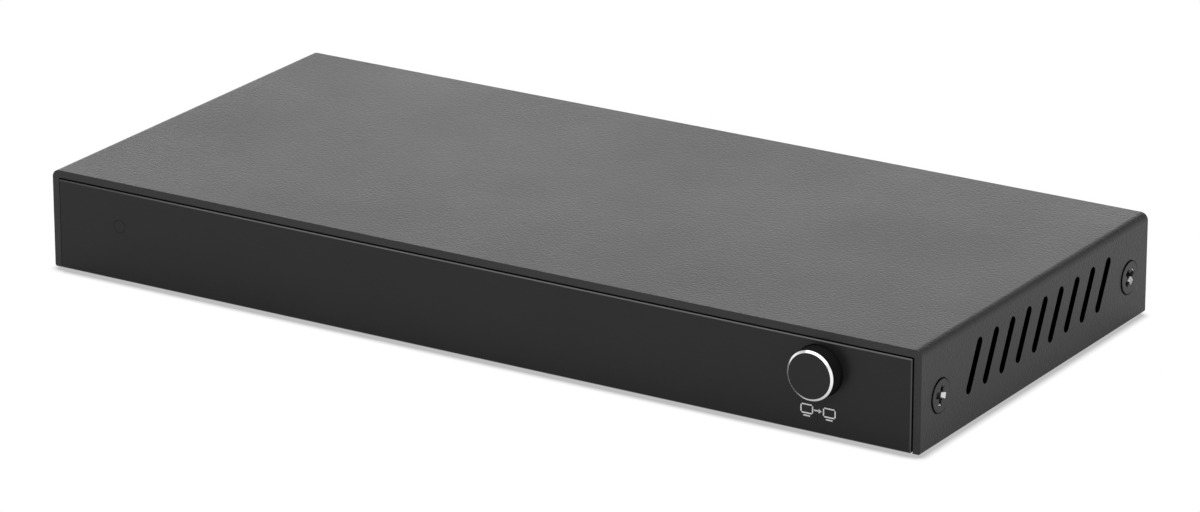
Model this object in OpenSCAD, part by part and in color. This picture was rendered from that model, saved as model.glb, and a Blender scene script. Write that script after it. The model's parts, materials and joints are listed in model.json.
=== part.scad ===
// Slim video splitter: a folded steel cover slides over a base tray that carries the board,
// with a raised front panel and push button in front and a row of sockets at the rear.
// Millimetres, +Z up, front towards -Y; z = 0 is the surface that the feet stand on.

/* [Case] */
// Width of the cover over its two sides
case_w = 152; // [146:1:180]
// Depth of the cover from its front edge to its rear edge
case_d = 70; // [68:1:90]
// Height of the cover without the feet
case_h = 15.7; // [14.3:0.1:22]
// Thickness of the coated steel sheet
sheet = 1.2; // [0.8:0.1:1.3]
// Outside radius of the cover's two top bends
top_bend_r = 1.2; // [0.6:0.1:2.5]
// Outside radius of the cover's two bottom bends
bottom_bend_r = 0.3; // [0.2:0.1:1.8]
// Width of the lips that turn in under the tray
lip_w = 8; // [6:0.5:9]
// Clearance between the cover and the tray that slides into it
slide_gap = 0.2; // [0.1:0.05:0.3]
// Inside radius of the tray's bends
tray_bend_r = 0.4; // [0.3:0.1:0.8]
// How far the tray's rear wall sits inside the cover's rear edge
rear_inset = 0.3; // [0:0.1:0.8]

/* [Vents] */
// Number of slots in each side
vent_count = 9; // [5:1:9]
// Distance from slot to slot
vent_pitch = 5; // [4:0.1:5.2]
// Width of a slot
vent_w = 1.6; // [0.8:0.1:2]
// Length of a slot over its round ends
vent_l = 8.5; // [6:0.5:9]
// Lean of a slot's top towards the rear, in degrees
vent_lean = 26; // [0:1:30]
// Height of the slots' middles above the cover's bottom
vent_rise = 8.6; // [7:0.1:9]
// How far the row's middle lies behind the case's middle
vent_shift = 0.7; // [-1.5:0.1:1.5]

/* [Cover screws] */
// Distance of each screw from the nearer end of the cover
screw_inset = 5.75; // [5.5:0.25:8]
// Height of the screws above the cover's bottom
screw_rise = 7.2; // [6.5:0.1:8]
// Diameter of a screw's thread
screw_d = 2.9; // [2.4:0.1:3]
// Diameter of a countersunk head
head_d = 5; // [4.8:0.1:6]
// Depth of a countersunk head
head_h = 0.9; // [0.7:0.05:0.9]
// Length of a cover screw with its head
screw_l = 4; // [3:0.25:4.5]
// Clearance round a head in its countersink and round the thread in the cover
head_gap = 0.25; // [0.2:0.05:0.4]
// How far a head stands out of the cover's side
head_rise = 0.15; // [0:0.05:0.3]
// Clearance round a thread in its hole
thread_gap = 0.05; // [0.02:0.01:0.1]
// Length of a tray tab that takes a screw
tab_l = 8; // [7:0.5:10]
// Height of a tray tab
tab_h = 9.5; // [9:0.5:11]

/* [Feet] */
// Diameter of a rubber foot
foot_d = 9; // [7:0.5:10]
// Height of the cover's bottom above the surface
foot_proud = 0.5; // [0.3:0.1:2]
// Distance of a foot's middle from the case's side
foot_inset_x = 15; // [14:0.5:20]
// Distance of a foot's middle from the case's front or rear
foot_inset_y = 11; // [9:0.5:15]
// Rounding of a foot's lower edge
foot_edge_r = 0.4; // [0.2:0.1:0.6]

/* [Front panel] */
// Thickness of the panel
panel_t = 1.7; // [1.5:0.1:2.4]
// How far the panel's face stands in front of the cover's edge
panel_proud = 0.3; // [0.2:0.1:1]
// Gap between the panel and the cover round it
panel_gap = 0.2; // [0.1:0.05:0.3]
// Height of the panel's bottom edge above the cover's bottom
panel_lift = 0.05; // [0:0.05:0.8]
// Radius of the panel's bottom corners
panel_corner_r = 0.2; // [0.1:0.1:1.4]
// Chamfer round the panel's face
panel_chamfer = 0.15; // [0.1:0.05:0.4]
// Thickness of the adhesive tape behind the panel
tape_t = 0.2; // [0.1:0.05:0.3]
// Margin of the tape inside the panel's edge
tape_margin = 2.5; // [2:0.25:3]

/* [Button and switch] */
// Diameter of the button
button_d = 7.6; // [7:0.1:8]
// Distance of the button from the case's right side
button_inset = 16.5; // [14:0.1:30]
// Distance of the button below the cover's top
button_drop = 6.05; // [5.6:0.05:6.2]
// How far the button stands in front of the panel
button_proud = 2.7; // [1:0.1:3]
// Width of the bright chamfer round the button's face
button_chamfer = 0.35; // [0.3:0.05:0.8]
// Depth of that chamfer
button_chamfer_h = 0.2; // [0.15:0.05:0.8]
// Clearance round the button in the panel
button_gap = 0.15; // [0.1:0.05:0.25]
// Width of the flange that keeps the button behind the panel
button_flange_w = 0.5; // [0.4:0.05:0.6]
// Thickness of that flange
button_flange_t = 1; // [0.8:0.1:1.2]
// Clearance behind the panel in front of that flange
button_seat_gap = 0.3; // [0.2:0.05:0.4]
// Travel of the button
button_travel = 0.35; // [0.2:0.05:0.4]
// Side of the square switch body
switch_side = 6; // [5.5:0.1:6.5]
// Depth of the switch body
switch_t = 4; // [3.8:0.1:5]
// Diameter of the switch's stem
stem_d = 3.4; // [3:0.1:3.6]
// Running clearance of the stem in the switch and in the button
stem_gap = 0.05; // [0.02:0.01:0.1]
// Distance of the switch body behind the board's front edge
switch_setback = 2.5; // [2:0.1:4]

/* [Status light] */
// Distance of the status light from the case's left side
led_inset = 12.65; // [11:0.05:20]
// Height of the status light above the cover's bottom
led_rise = 8.75; // [8:0.05:9]
// Diameter of the smoked window in the panel
window_d = 2; // [1.5:0.1:2.4]
// Diameter of the lamp behind it
led_d = 3; // [2:0.1:3.2]

/* [Board] */
// Thickness of the circuit board
board_t = 1.6; // [1.2:0.1:1.6]
// Height of the standoffs under the board
standoff_h = 1.6; // [1.5:0.1:2.2]
// Outside diameter of a standoff
standoff_d = 5.5; // [5:0.1:6]
// Gap between the board and the tray's front and rear walls
board_gap = 0.9; // [0.5:0.1:1]
// Gap between the board and the tray's side tabs
board_side_gap = 3.8; // [3.5:0.1:5]
// Thickness of the insulating film on the tray
film_t = 0.25; // [0.15:0.05:0.4]

/* [Sockets] */
// Width of a socket's opening
socket_w = 14.1; // [13.9:0.05:14.4]
// Height of a socket's opening
socket_h = 4.65; // [4.5:0.05:4.9]
// Bevel of the opening's lower corners
socket_bevel = 1.7; // [1.4:0.1:2]
// Thickness of a socket's shell
socket_wall = 0.3; // [0.25:0.05:0.4]
// Length of a socket's shell
socket_l = 11.5; // [11:0.25:13]
// Distance from the power inlet to the first socket
inlet_spacing = 21; // [20:0.5:24]
// Distance of the last socket from the case's left side
socket_inset = 22; // [18:0.5:26]
// How far the shells stand out of the rear wall
socket_proud = 0.5; // [0.2:0.1:1]
// Width of the contact tongue in a socket
tongue_w = 10.8; // [10.5:0.1:11]
// Thickness of the contact tongue
tongue_t = 1.1; // [1:0.05:1.3]
// Distance from contact to contact on one side of the tongue
contact_pitch = 1; // [0.9:0.05:1.05]
// Clearance round the shells in the rear wall
socket_gap = 0.3; // [0.2:0.05:0.4]

/* [Power inlet] */
// Distance of the power inlet from the case's right side
jack_inset = 13; // [12:0.25:16]
// Width of the inlet's housing
jack_w = 9; // [8.5:0.1:9.5]
// Height of the inlet's housing
jack_h = 7.2; // [7:0.1:7.6]
// Length of the inlet's housing behind the rear wall
jack_l = 11; // [10.5:0.25:13]
// Diameter of the nose that passes the rear wall
jack_nose_d = 6.8; // [6.6:0.1:7]
// Diameter of the inlet's bore
jack_bore_d = 5.7; // [5.6:0.05:5.8]
// Depth of the inlet's bore from its nose
jack_bore_l = 9.5; // [9:0.25:10.5]
// Diameter of the centre pin
jack_pin_d = 2.1; // [2:0.05:2.5]
// Length of the centre pin that stands free in the bore
jack_pin_l = 8.5; // [7:0.25:8.75]

/* [Cooling] */
// Side of the splitter chip
chip_side = 14; // [12:0.5:16]
// Thickness of the chips
chip_t = 1.2; // [1:0.1:1.4]
// Thickness of the thermal pad on the splitter chip
pad_t = 0.5; // [0.3:0.1:1]
// Side of the heat sink
sink_side = 26; // [20:0.5:28]
// Number of the heat sink's fins
fin_count = 9; // [6:1:11]
// Thickness of a fin
fin_t = 1; // [0.8:0.1:1.2]
// Thickness of the heat sink's base
sink_base_t = 1.5; // [1.2:0.1:2]
// Air gap between the fins and the cover's top
sink_gap = 1.6; // [1.2:0.1:3]

/* [Hidden] */
$fn = 64;

SOCKETS = ["input", "output_1", "output_2", "output_3", "output_4"];

// How far a cutting shape runs past the face that it cuts
over = 1;
// Smallest radius that a rounded corner keeps
least_r = 0.05;

// Heights of the stacked layers
cover_z0 = foot_proud;
cover_z1 = cover_z0 + case_h;
roof_z = cover_z1 - sheet;
floor_z0 = cover_z0 + sheet;
floor_z1 = floor_z0 + sheet;
board_z0 = floor_z1 + standoff_h;
board_z1 = board_z0 + board_t;

// Depths from the front to the rear; y = 0 is the middle of the overall depth
overall_d = case_d + panel_proud + button_proud + max(0, socket_proud - rear_inset);
front_y = panel_proud + button_proud - overall_d / 2;
rear_y = front_y + case_d;
mid_y = (front_y + rear_y) / 2;
panel_y0 = front_y - panel_proud;
panel_y1 = panel_y0 + panel_t;
wall_y0 = panel_y1 + tape_t;
wall_y1 = wall_y0 + sheet;
back_y1 = rear_y - rear_inset;
back_y0 = back_y1 - sheet;
board_y0 = wall_y1 + board_gap;
board_y1 = back_y0 - board_gap;

// Widths and bend radii inside the cover
inner_w = case_w - 2 * sheet;
top_bend_in = max(least_r, top_bend_r - sheet);
bottom_bend_in = max(least_r, bottom_bend_r - sheet);
tray_w = inner_w - 2 * slide_gap;
tray_wall_h = roof_z - slide_gap - floor_z0;
tray_bend_out = tray_bend_r + sheet;
board_w = tray_w - 2 * (sheet + board_side_gap);

// Front panel
panel_w = inner_w - 2 * panel_gap;
panel_h = case_h - sheet - panel_gap - panel_lift;
panel_z0 = cover_z0 + panel_lift;
panel_top_r = max(least_r, top_bend_r - sheet - panel_gap);

// Cover screws
screw_y = case_d / 2 - screw_inset;
screw_z = cover_z0 + screw_rise;
recess_l = 2.6;
recess_w = 0.7;
recess_h = 0.7;
cross_turn = 20;

// Feet
foot_x = case_w / 2 - foot_inset_x;
foot_y = case_d / 2 - foot_inset_y;
foot_t = foot_proud + sheet;

// Button and switch, along the button's axis
button_x = case_w / 2 - button_inset;
button_z = cover_z1 - button_drop;
button_face_y = panel_y0 - button_proud;
button_flange_y0 = panel_y1 + button_seat_gap;
button_back_y = button_flange_y0 + button_flange_t;
button_flange_r = button_d / 2 + button_flange_w;
button_notch_r = button_flange_r + slide_gap;
stem_socket_l = 2.5;
switch_y0 = board_y0 + switch_setback;
switch_wall = 1.2;
switch_top_z = button_z + switch_side / 2;
stem_foot_w = 0.6;
stem_foot_d = stem_d + 2 * stem_foot_w;
stem_foot_t = 0.3;
stem_foot_y0 = switch_y0 + switch_wall + stem_gap;
dome_margin = 0.15;
dome_d = stem_foot_d + 2 * dome_margin;
dome_rise = 0.5;
dome_t = 0.12;
dome_gap = 0.1;
dome_y0 = stem_foot_y0 + stem_foot_t + button_travel + dome_gap;
cavity_d = dome_d + 2 * stem_gap;
cavity_y1 = dome_y0 + dome_rise;
bracket_t = 0.4;
bracket_leg_w = 1.2;
bracket_leg_y = switch_y0 + switch_t / 2;

// Status light
led_x = led_inset - case_w / 2;
led_z = cover_z0 + led_rise;
led_gap = 0.05;
led_tip_gap = 0.3;
led_tip_y = panel_y1 + led_tip_gap;
holder_y0 = board_y0;
holder_l = 5;
holder_w = 5;
holder_roof = 1;
led_back_y = holder_y0 + holder_l;
led_lead = 0.5;
led_lead_pitch = 1.27;
led_notch_r = led_d / 2 + led_tip_gap;

// Power inlet
jack_x = case_w / 2 - jack_inset;
jack_z = board_z1 + jack_h / 2;
jack_y1 = back_y0 - slide_gap;
jack_y0 = jack_y1 - jack_l;
jack_nose_y = rear_y;
jack_bore_y = jack_nose_y - jack_bore_l;
jack_shoulder_w = 0.4;
jack_shoulder_d = jack_pin_d + 2 * jack_shoulder_w;
jack_tip = 0.3;
spring_w = 1.6;
spring_t = 0.25;
spring_l = 7;
spring_slot_w = 2;
spring_slot_h = 0.5;
spring_setback = 1;
spring_leg_y = jack_bore_y + spring_setback;
spring_z0 = jack_z - jack_bore_d / 2 - spring_slot_h + thread_gap;
lug_w = 1.6;
lug_t = 0.5;

// Sockets, spread evenly between the power inlet and the left side
input_x = jack_x - inlet_spacing;
last_x = socket_inset - case_w / 2;
socket_pitch = (input_x - last_x) / (len(SOCKETS) - 1);
socket_y1 = back_y1 + socket_proud;
socket_y0 = socket_y1 - socket_l;
shell_w = socket_w + 2 * socket_wall;
shell_h = socket_h + 2 * socket_wall;
shell_bevel = socket_bevel + socket_wall * (2 - sqrt(2));
opening_z = board_z1 + socket_wall;
block_gap = 0.05;
block_l = 4;
tongue_l = 6;
tongue_z = opening_z + socket_h / 2;
contact_w = 0.4;
contact_t = 0.12;
contact_margin = 0.6;
contact_l = tongue_l - contact_margin;
contact_rows = [10, 9];
tail_l = 1.2;
tail_t = 0.2;
leg_w = 1.4;
leg_gap = 0.15;
leg_tip = 0.8;
leg_setbacks = [4.5, 9.5];

// Board fixings
fixing_inset = 4;
fixing_front = 13.5;
fixing_rear = 18.5;
standoff_x = board_w / 2 - fixing_inset;
standoff_front_y = board_y0 + fixing_front;
standoff_rear_y = board_y1 - fixing_rear;
standoff_neck_d = 4;
board_screw_d = 2.9;
board_screw_l = 3.8;
board_head_d = 5.2;
board_head_h = 1.7;
board_hole_d = 3.3;
film_margin = 3;

// Parts on the board: the splitter in the middle, the scalers in front of the output sockets
chip_setback = 25.5;
chip_x = (input_x + last_x) / 2;
chip_y = board_y0 + chip_setback;
chip_z1 = board_z1 + chip_t;
sink_z0 = chip_z1 + pad_t;
sink_z1 = roof_z - sink_gap;
scaler_side = 8;
scaler_setback = 9.7;
scaler_y = socket_y0 - scaler_setback;
array_size = [2.5, 1, 0.6];
array_setback = 3.5;
array_y = socket_y0 - array_setback;
array_spread = 3;
bypass_size = [1.6, 0.8, 0.8];
bypass_pitch = 3.2;
bypass_count = 8;
bypass_gap = 2;
bypass_x = sink_side / 2 + bypass_gap;

// Power column beside the inlet: inductors and regulator from the front, capacitors from the rear
power_offset = 11;
power_x = jack_x - power_offset;
regulator_size = [6.5, 3.5, 1.6];
regulator_setback = 17;
regulator_y = board_y0 + regulator_setback;
inductor_side = 6;
inductor_h = 3;
inductor_setbacks = [9.5, 24.5];
capacitor_d = 6.3;
capacitor_h = 5.8;
capacitor_base_h = 0.8;
capacitor_base_w = 6.6;
capacitor_setbacks = [15.5, 8];
controller_side = 7;
controller_offset = 24;
controller_x = power_x - controller_offset;
controller_setback = 19;
controller_y = board_y0 + controller_setback;
crystal_size = [3.2, 2.5, 0.8];
crystal_offset = 9;
crystal_x = controller_x + crystal_offset;

coat_colour = [0.2, 0.2, 0.21];
panel_colour = [0.13, 0.13, 0.13];
steel_colour = [0.72, 0.73, 0.75];
gold_colour = [0.83, 0.67, 0.3];
black_colour = [0.07, 0.07, 0.07];
board_colour = [0.08, 0.3, 0.17];
brass_colour = [0.75, 0.62, 0.35];

// Rounded outline that stands on the X axis, centred on it
module outline(w, h, top_r, bottom_r) {
    translate([-w / 2, bottom_r]) square([w, h - top_r - bottom_r]);
    translate([bottom_r - w / 2, 0]) square([w - 2 * bottom_r, bottom_r + least_r]);
    translate([top_r - w / 2, h - top_r - least_r]) square([w - 2 * top_r, top_r + least_r]);
    for (side = [-1, 1]) {
        translate([side * (w / 2 - top_r), h - top_r]) circle(top_r);
        translate([side * (w / 2 - bottom_r), bottom_r]) circle(bottom_r);
    }
}

// Sheet of an upright outline from one depth to another
module upright(y0, y1) {
    translate([0, y1, 0]) rotate([90, 0, 0]) linear_extrude(y1 - y0) children();
}

// Block between two corners
module block(low, high) {
    translate(low) cube(high - low);
}

// Round bar along the depth of the case
module bar(d, y0, y1) {
    translate([0, y0, 0]) rotate([-90, 0, 0]) cylinder(d = d, h = y1 - y0);
}

// Children at four places as far from the case's middle
module corners(x, y) {
    for (side = [-1, 1], end = [-1, 1]) translate([side * x, mid_y + end * y, 0]) children();
}

// Children at each board fixing
module fixings() {
    for (side = [-1, 1], y = [standoff_front_y, standoff_rear_y])
        translate([side * standoff_x, y, 0]) children();
}

// Children at each cover screw, with Z pointing out of the case's side at its face
module side_screws() {
    for (side = [-1, 1], end = [-1, 1])
        translate([side * case_w / 2, mid_y + end * screw_y, screw_z])
            rotate([0, side * 90, 0]) children();
}

// Cross recess cut down from the plane z = 0
module cross_recess() {
    for (turn = [0, 90])
        rotate(turn + cross_turn)
            translate([-recess_l / 2, -recess_w / 2, -recess_h])
                cube([recess_l, recess_w, recess_h + over]);
}

// Section of a sheet bent up by a right angle: its outer face on x = 0, its underside on y = 0
module bent_section(leg, h) {
    translate([-leg, 0]) square([leg - tray_bend_out, sheet]);
    translate([-sheet, tray_bend_out]) square([sheet, h - tray_bend_out]);
    translate([-tray_bend_out, tray_bend_out]) intersection() {
        difference() {
            circle(tray_bend_out);
            circle(tray_bend_r);
        }
        translate([0, -tray_bend_out]) square(tray_bend_out);
    }
}

// Section of the folded cover, open below between its lips
module cover_section() {
    difference() {
        outline(case_w, case_h, top_bend_r, bottom_bend_r);
        translate([0, sheet])
            outline(inner_w, case_h - 2 * sheet, top_bend_in, bottom_bend_in);
        translate([lip_w - case_w / 2, -over]) square([case_w - 2 * lip_w, sheet + 2 * over]);
    }
}

// Room for the front panel in the cover's front edge, open below
module panel_recess() {
    recess_r = panel_corner_r + panel_gap;
    upright(front_y - over, panel_y1 + slide_gap) {
        translate([0, panel_z0 - panel_gap])
            outline(inner_w, panel_h + 2 * panel_gap, top_bend_in, recess_r);
        translate([recess_r - inner_w / 2, cover_z0 - over])
            square([inner_w - 2 * recess_r, panel_lift + over]);
    }
}

// One leaning vent slot through a side, centred on the origin
module vent_slot() {
    reach = vent_l / 2 - vent_w / 2;
    rotate([-vent_lean, 0, 0]) {
        cube([2 * sheet + 2 * over, vent_w, 2 * reach], center = true);
        for (end = [-1, 1])
            translate([0, 0, end * reach]) rotate([0, 90, 0])
                cylinder(d = vent_w, h = 2 * sheet + 2 * over, center = true);
    }
}

module vents() {
    for (side = [-1, 1], i = [0 : vent_count - 1])
        translate([
            side * (case_w - sheet) / 2,
            mid_y + vent_shift + (i - (vent_count - 1) / 2) * vent_pitch,
            cover_z0 + vent_rise
        ]) vent_slot();
}

module cover() {
    color(coat_colour) difference() {
        upright(front_y, rear_y) translate([0, cover_z0]) cover_section();
        panel_recess();
        vents();
        side_screws() translate([0, 0, -sheet - over]) {
            cylinder(
                r1 = head_d / 2 + head_gap - sheet - over,
                r2 = head_d / 2 + head_gap + over,
                h = sheet + 2 * over
            );
            cylinder(d = screw_d + 2 * head_gap, h = sheet + 2 * over);
        }
    }
}

// Upright outline of a socket's shell, which stands on the board
module shell_outline(w, h, bevel) {
    polygon([
        [-w / 2, h], [w / 2, h], [w / 2, bevel],
        [w / 2 - bevel, 0], [bevel - w / 2, 0], [-w / 2, bevel]
    ]);
}

// Open-topped notch for something round that is lowered into the front wall
module notch(x, z, r) {
    translate([x, 0, z]) bar(2 * r, wall_y0 - over, wall_y1 + over);
    block([x - r, wall_y0 - over, z], [x + r, wall_y1 + over, roof_z + over]);
}

module base_tray() {
    leg = tray_bend_out + over;
    floor_w = tray_w - 2 * tray_bend_out;
    color(coat_colour) difference() {
        intersection() {
            union() {
                block([-floor_w / 2, wall_y0 + tray_bend_out, floor_z0],
                      [floor_w / 2, back_y1 - tray_bend_out, floor_z1]);
                translate([-tray_w / 2, back_y1, floor_z0]) rotate([90, 0, 90])
                    linear_extrude(tray_w) bent_section(leg, tray_wall_h);
                translate([-tray_w / 2, wall_y0, floor_z0]) mirror([0, 1, 0]) rotate([90, 0, 90])
                    linear_extrude(tray_w) bent_section(leg, tray_wall_h);
                for (side = [0, 1], end = [-1, 1]) {
                    tab_y0 = mid_y + end * screw_y - tab_l / 2;
                    mirror([side, 0, 0]) upright(tab_y0, tab_y0 + tab_l)
                        translate([tray_w / 2, floor_z0]) bent_section(leg, tab_h);
                }
            }
            upright(wall_y0 - over, back_y1 + over) translate([0, floor_z0])
                outline(tray_w, tray_wall_h, top_bend_in, bottom_bend_in + slide_gap);
        }
        notch(button_x, button_z, button_notch_r);
        notch(led_x, led_z, led_notch_r);
        for (i = [0 : len(SOCKETS) - 1])
            upright(back_y0 - over, back_y1 + over) translate([socket_x(i), board_z1 - socket_gap])
                shell_outline(shell_w + 2 * socket_gap, shell_h + 2 * socket_gap, shell_bevel);
        translate([jack_x, 0, jack_z])
            bar(jack_nose_d + 2 * socket_gap, back_y0 - over, back_y1 + over);
        side_screws() translate([0, 0, -screw_l - over])
            cylinder(d = screw_d + 2 * thread_gap, h = screw_l);
        fixings() translate([0, 0, floor_z0 - over])
            cylinder(d = standoff_neck_d + 2 * thread_gap, h = sheet + 2 * over);
    }
}

module front_panel() {
    color(panel_colour) difference() {
        union() {
            upright(panel_y0 + panel_chamfer, panel_y1) translate([0, panel_z0])
                outline(panel_w, panel_h, panel_top_r, panel_corner_r);
            hull() {
                upright(panel_y0, panel_y0 + least_r) translate([0, panel_z0 + panel_chamfer])
                    outline(panel_w - 2 * panel_chamfer, panel_h - 2 * panel_chamfer,
                            max(least_r, panel_top_r - panel_chamfer),
                            max(least_r, panel_corner_r - panel_chamfer), $fn = 32);
                upright(panel_y0 + panel_chamfer, panel_y0 + panel_chamfer + least_r)
                    translate([0, panel_z0])
                        outline(panel_w, panel_h, panel_top_r, panel_corner_r, $fn = 32);
            }
        }
        translate([button_x, 0, button_z])
            bar(button_d + 2 * button_gap, panel_y0 - over, panel_y1 + over);
        translate([led_x, 0, led_z])
            bar(window_d + 2 * led_gap, panel_y0 - over, panel_y1 + over);
    }
}

module panel_tape() {
    color([0.85, 0.85, 0.82]) difference() {
        block([tape_margin - panel_w / 2, panel_y1, panel_z0 + tape_margin],
              [panel_w / 2 - tape_margin, wall_y0, panel_z0 + panel_h - tape_margin]);
        notch(button_x, button_z, button_notch_r);
        notch(led_x, led_z, led_notch_r);
    }
}

module cover_screws() {
    color(black_colour) side_screws() translate([0, 0, head_rise]) difference() {
        union() {
            translate([0, 0, -head_h])
                cylinder(r1 = head_d / 2 - head_h, r2 = head_d / 2, h = head_h);
            translate([0, 0, -screw_l]) cylinder(d = screw_d, h = screw_l - head_h / 2);
        }
        cross_recess();
    }
}

module rubber_feet() {
    color([0.1, 0.1, 0.1]) corners(foot_x, foot_y) rotate_extrude() {
        translate([0, foot_edge_r]) square([foot_d / 2, foot_t - foot_edge_r]);
        square([foot_d / 2 - foot_edge_r, foot_edge_r + least_r]);
        translate([foot_d / 2 - foot_edge_r, foot_edge_r]) circle(foot_edge_r);
    }
}

module insulating_film() {
    color([0.9, 0.9, 0.85, 0.6]) difference() {
        block([film_margin - board_w / 2, board_y0 + film_margin, floor_z1],
              [board_w / 2 - film_margin, board_y1 - film_margin, floor_z1 + film_t]);
        fixings() translate([0, 0, floor_z1 - over])
            cylinder(d = standoff_d + 2 * slide_gap, h = film_t + 2 * over);
    }
}

module board_standoffs() {
    color(brass_colour) fixings() difference() {
        union() {
            translate([0, 0, floor_z1]) cylinder(d = standoff_d, h = standoff_h);
            translate([0, 0, floor_z0]) cylinder(d = standoff_neck_d, h = sheet + least_r);
        }
        translate([0, 0, floor_z0 - over])
            cylinder(d = board_screw_d + 2 * thread_gap, h = sheet + standoff_h + 2 * over);
    }
}

module board_screws() {
    color(steel_colour) fixings() translate([0, 0, board_z1]) difference() {
        union() {
            translate([0, 0, -board_screw_l]) cylinder(d = board_screw_d, h = board_screw_l + least_r);
            cylinder(d = board_head_d, h = board_head_h);
        }
        translate([0, 0, board_head_h]) cross_recess();
    }
}

// Hole through the board for a flat leg
module leg_hole(low, high) {
    block([low[0] - leg_gap, low[1] - leg_gap, board_z0 - over],
          [high[0] + leg_gap, high[1] + leg_gap, board_z1 + over]);
}

module circuit_board() {
    color(board_colour) difference() {
        block([-board_w / 2, board_y0, board_z0], [board_w / 2, board_y1, board_z1]);
        fixings() translate([0, 0, board_z0 - over])
            cylinder(d = board_hole_d, h = board_t + 2 * over);
        for (i = [0 : len(SOCKETS) - 1], side = [-1, 1], setback = leg_setbacks)
            leg_hole([leg_x(i, side) - socket_wall / 2, socket_y1 - setback - leg_w / 2],
                     [leg_x(i, side) + socket_wall / 2, socket_y1 - setback + leg_w / 2]);
        for (side = [-1, 1])
            leg_hole([bracket_x(side) - bracket_t / 2, bracket_leg_y - bracket_leg_w / 2],
                     [bracket_x(side) + bracket_t / 2, bracket_leg_y + bracket_leg_w / 2]);
        leg_hole([jack_x - lug_w / 2, jack_y0 - lug_t], [jack_x + lug_w / 2, jack_y0]);
        leg_hole([jack_x - spring_w / 2, spring_leg_y], [jack_x + spring_w / 2, spring_leg_y + lug_t]);
    }
}

// Middle of a socket, of the legs on one side of it and of a cheek of the switch bracket
function socket_x(i) = input_x - i * socket_pitch;
function leg_x(i, side) = socket_x(i) + side * (shell_w - socket_wall) / 2;
function bracket_x(side) = button_x + side * (switch_side + bracket_t) / 2;

module socket_shell(i) {
    color(steel_colour) {
        upright(socket_y0, socket_y1) translate([socket_x(i), board_z1]) difference() {
            shell_outline(shell_w, shell_h, shell_bevel);
            translate([0, socket_wall]) shell_outline(socket_w, socket_h, socket_bevel);
        }
        for (side = [-1, 1], setback = leg_setbacks)
            translate([leg_x(i, side), socket_y1 - setback, board_z0 - leg_tip])
                translate([-socket_wall / 2, -leg_w / 2, 0])
                    cube([socket_wall, leg_w, board_t + leg_tip + shell_bevel + over]);
    }
}

module socket_tongue(i) {
    block_w = socket_w - 2 * block_gap;
    block_h = socket_h - 2 * block_gap;
    color(black_colour) {
        upright(socket_y0, socket_y0 + block_l) translate([socket_x(i), opening_z + block_gap])
            shell_outline(block_w, block_h, socket_bevel);
        block([socket_x(i) - tongue_w / 2, socket_y0 + block_l - least_r, tongue_z - tongue_t / 2],
              [socket_x(i) + tongue_w / 2, socket_y0 + block_l + tongue_l, tongue_z + tongue_t / 2]);
    }
}

// Contact strips on both faces of the tongue, and their tails on the board behind the socket
module socket_contacts(i) {
    strip_y0 = socket_y0 + block_l;
    tail_count = contact_rows[0] + contact_rows[1];
    color(gold_colour) {
        for (row = [0, 1], k = [0 : contact_rows[row] - 1])
            translate([
                socket_x(i) + (k - (contact_rows[row] - 1) / 2) * contact_pitch - contact_w / 2,
                strip_y0,
                row == 0 ? tongue_z + tongue_t / 2 : tongue_z - tongue_t / 2 - contact_t
            ]) cube([contact_w, contact_l, contact_t]);
        for (k = [0 : tail_count - 1])
            translate([
                socket_x(i) + (k - (tail_count - 1) / 2) * contact_pitch / 2 - contact_w / 4,
                socket_y0 - tail_l,
                board_z1
            ]) cube([contact_w / 2, tail_l, tail_t]);
    }
}

module power_jack_housing() {
    color(black_colour) difference() {
        union() {
            block([jack_x - jack_w / 2, jack_y0, board_z1],
                  [jack_x + jack_w / 2, jack_y1, board_z1 + jack_h]);
            translate([jack_x, 0, jack_z]) bar(jack_nose_d, jack_y1 - over, jack_nose_y);
        }
        translate([jack_x, 0, jack_z]) {
            bar(jack_bore_d, jack_bore_y, jack_nose_y + over);
            bar(jack_shoulder_d + 2 * thread_gap, jack_y0 - over, jack_bore_y + over);
        }
        block([jack_x - spring_slot_w / 2, jack_bore_y, spring_z0 - thread_gap],
              [jack_x + spring_slot_w / 2, jack_bore_y + spring_l + over, jack_z]);
        block([jack_x - spring_slot_w / 2, spring_leg_y - leg_gap, board_z1 - over],
              [jack_x + spring_slot_w / 2, spring_leg_y + lug_t + leg_gap, jack_z]);
    }
}

module power_jack_pin() {
    color(steel_colour) {
        translate([jack_x, 0, jack_z]) rotate([-90, 0, 0]) rotate_extrude() polygon([
            [0, jack_y0 - lug_t / 2],
            [jack_shoulder_d / 2, jack_y0 - lug_t / 2],
            [jack_shoulder_d / 2, jack_bore_y],
            [jack_pin_d / 2, jack_bore_y],
            [jack_pin_d / 2, jack_bore_y + jack_pin_l],
            [jack_pin_d / 2 - jack_tip, jack_bore_y + jack_pin_l + jack_tip],
            [0, jack_bore_y + jack_pin_l + jack_tip]
        ]);
        block([jack_x - lug_w / 2, jack_y0 - lug_t, board_z0 - leg_tip],
              [jack_x + lug_w / 2, jack_y0, jack_z]);
    }
}

module power_jack_spring() {
    color(steel_colour) {
        block([jack_x - spring_w / 2, jack_bore_y + thread_gap, spring_z0],
              [jack_x + spring_w / 2, jack_bore_y + spring_l, spring_z0 + spring_t]);
        block([jack_x - spring_w / 2, spring_leg_y, board_z0 - leg_tip],
              [jack_x + spring_w / 2, spring_leg_y + lug_t, spring_z0 + spring_t]);
    }
}

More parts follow.
